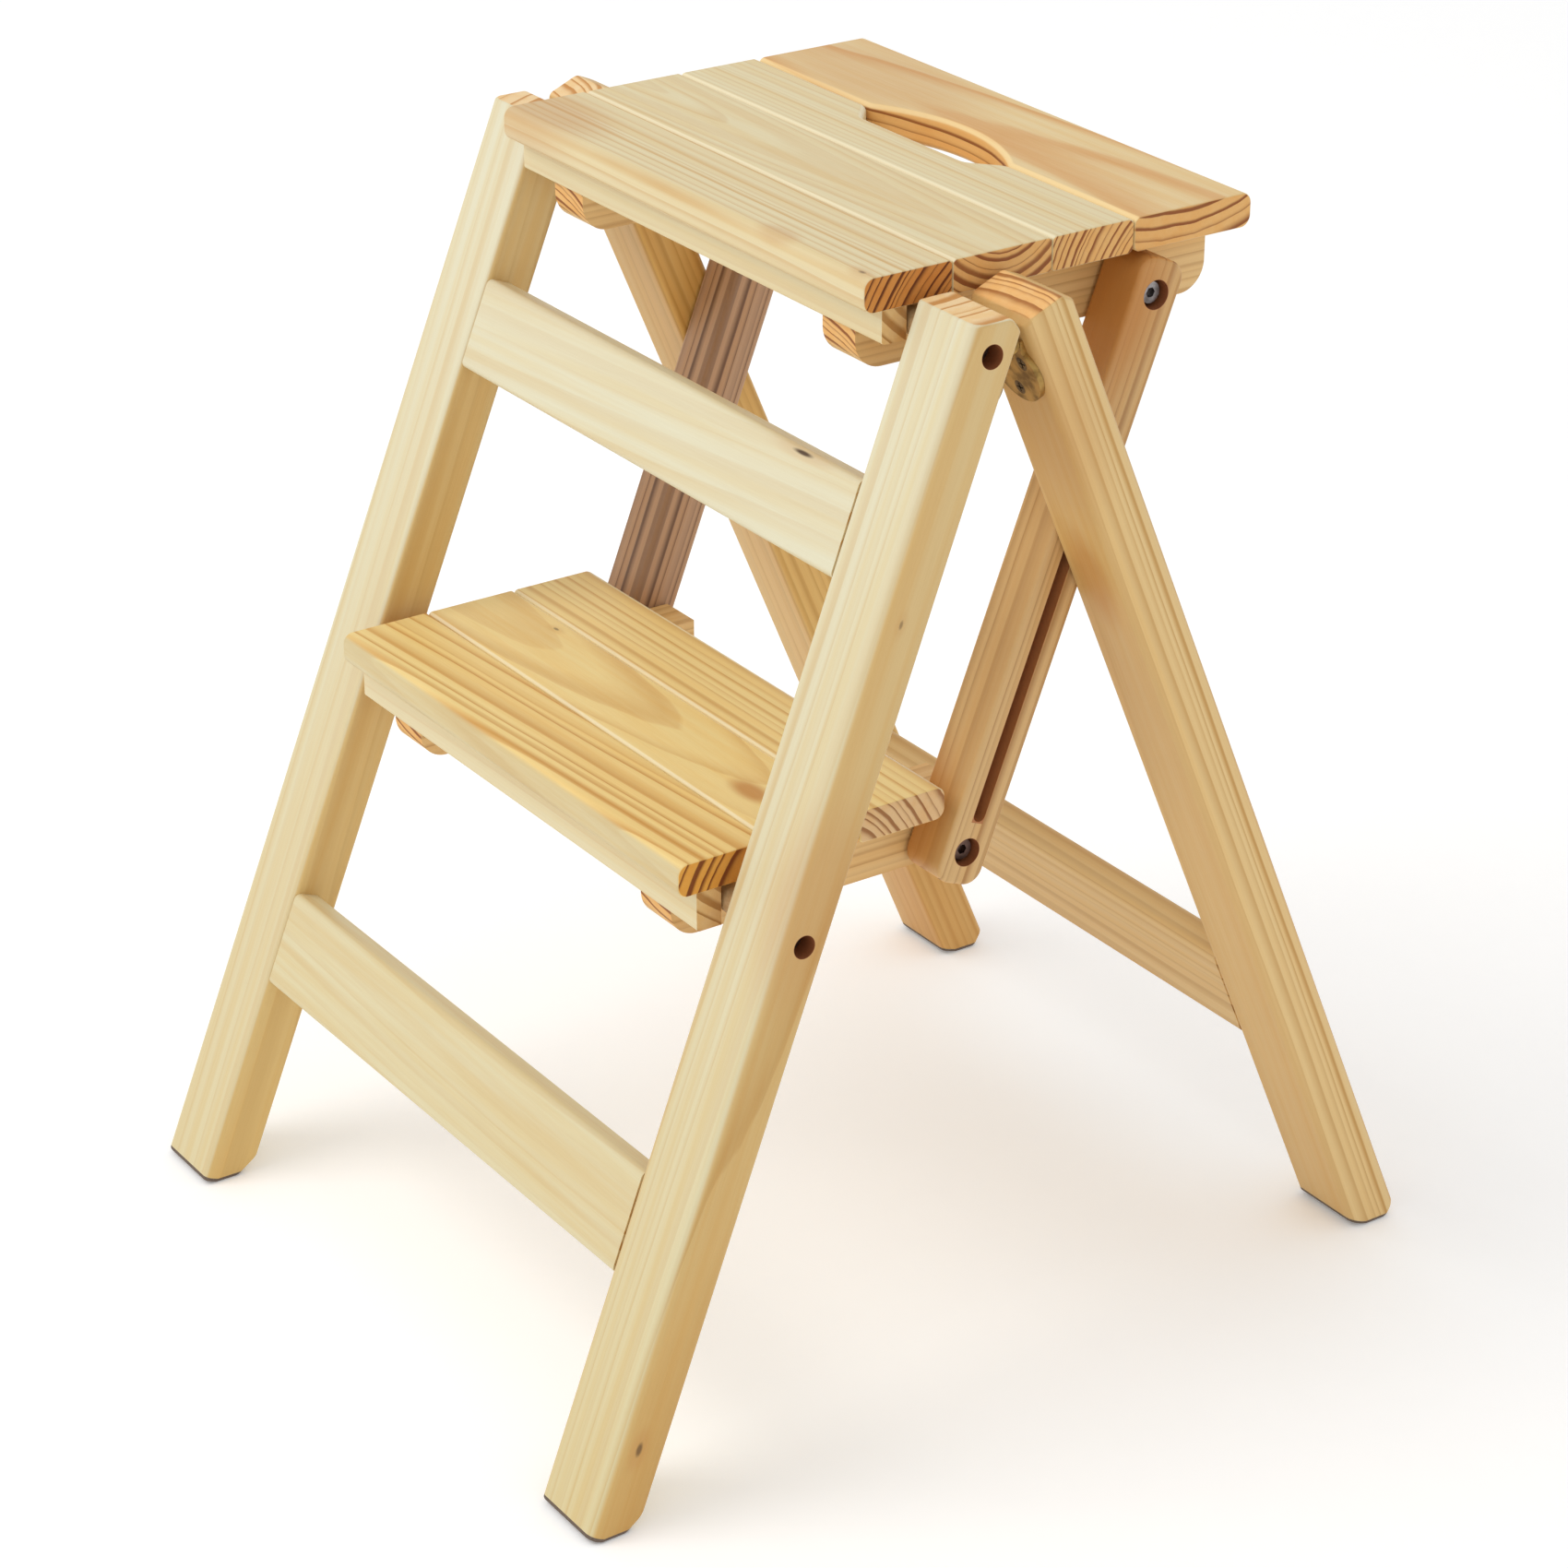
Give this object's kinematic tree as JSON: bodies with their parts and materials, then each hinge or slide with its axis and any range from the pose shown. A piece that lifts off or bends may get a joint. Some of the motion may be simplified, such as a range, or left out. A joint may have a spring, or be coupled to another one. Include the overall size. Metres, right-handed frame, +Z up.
{
  "type": "folding step stool",
  "caption": "Folding wooden step stool: a slatted seat with a finger hole and a slatted lower step on grooved links, between a front frame and a hinged rear frame that close flat.",
  "frame": {"origin": "on the floor, in the middle of the four feet of the open stool", "axes": "+Z up, the front with the lower step faces -Y, +X to the right as seen from the front"},
  "size_m": [0.3858, 0.4495, 0.5028],
  "materials": {
    "pine": "sanded, satin",
    "warm_pine": "sanded, satin",
    "dowel_wood": "plain",
    "steel": "zinc plated",
    "spacer": "matt",
    "brass": "plated, satin",
    "pad": "matt"
  },
  "bodies": {
    "front_frame": {"front_leg_left": "pine", "front_leg_right": "pine", "upper_front_rail": "pine", "lower_front_rail": "pine", "front_rail_dowels": "dowel_wood", "front_foot_pads": "pad", "seat_pivot_bolts": "steel", "step_pivot_bolts": "steel", "seat_pivot_nuts": "steel", "step_pivot_nuts": "steel", "seat_pivot_spacers": "spacer", "step_pivot_spacers": "spacer", "hinge_front_leaves": "brass", "hinge_front_screws": "brass", "hinge_pins": "brass"},
    "seat": {"seat_slat_front": "pine", "seat_slat_second": "pine", "seat_slat_third": "pine", "seat_slat_rear": "pine", "seat_cleat_left": "warm_pine", "seat_cleat_right": "warm_pine", "seat_apron": "pine", "seat_slat_screws": "steel", "seat_link_bolts": "steel", "seat_link_nuts": "steel", "seat_link_washers": "steel"},
    "step": {"step_slat_front": "pine", "step_slat_middle": "pine", "step_slat_rear": "pine", "step_cleat_left": "warm_pine", "step_cleat_right": "warm_pine", "step_apron": "pine", "step_slat_screws": "steel", "step_link_bolts": "steel", "step_link_nuts": "steel", "step_link_washers": "steel"},
    "links": {"link_left": "warm_pine", "link_right": "warm_pine"},
    "guide_pins": {"guide_pins": "steel"},
    "rear_frame": {"rear_leg_left": "pine", "rear_leg_right": "pine", "rear_rail": "pine", "rear_rail_dowels": "dowel_wood", "rear_foot_pads": "pad", "hinge_rear_leaves": "brass", "hinge_rear_screws": "brass"}
  },
  "joints": [
    {"name": "seat_fold", "type": "hinge", "parent": "front_frame", "child": "seat", "pos_m": [0, -0.02399, 0.47877], "axis": [1, 0, 0], "range_deg": [0, 55.93]},
    {"name": "step_fold", "type": "hinge", "parent": "front_frame", "child": "step", "pos_m": [0, -0.11525, 0.2471], "axis": [1, 0, 0], "range_deg": [0, 55.93]},
    {"name": "link_turn", "type": "hinge", "parent": "seat", "child": "links", "pos_m": [0, 0.09201, 0.46877], "axis": [1, 0, 0], "range_deg": [-55.93, 0]},
    {"name": "rear_fold", "type": "hinge", "parent": "front_frame", "child": "rear_frame", "pos_m": [0, -0.00624, 0.47608], "axis": [-1, 0, 0], "range_deg": [0, 44.5]},
    {"name": "guide_pin_slide", "type": "slide", "parent": "links", "child": "guide_pins", "axis": [0, 0.3665, 0.9304], "range_m": [-0.12349, 0]}
  ],
  "couplings": [
    {"joint": "step_fold", "follows": "seat_fold", "ratio": 1},
    {"joint": "link_turn", "follows": "seat_fold", "ratio": -1},
    {"joint": "rear_fold", "follows": "seat_fold", "ratio": 0.7956},
    {"joint": "guide_pin_slide", "follows": "seat_fold", "m_per_rad": -0.1265}
  ]
}
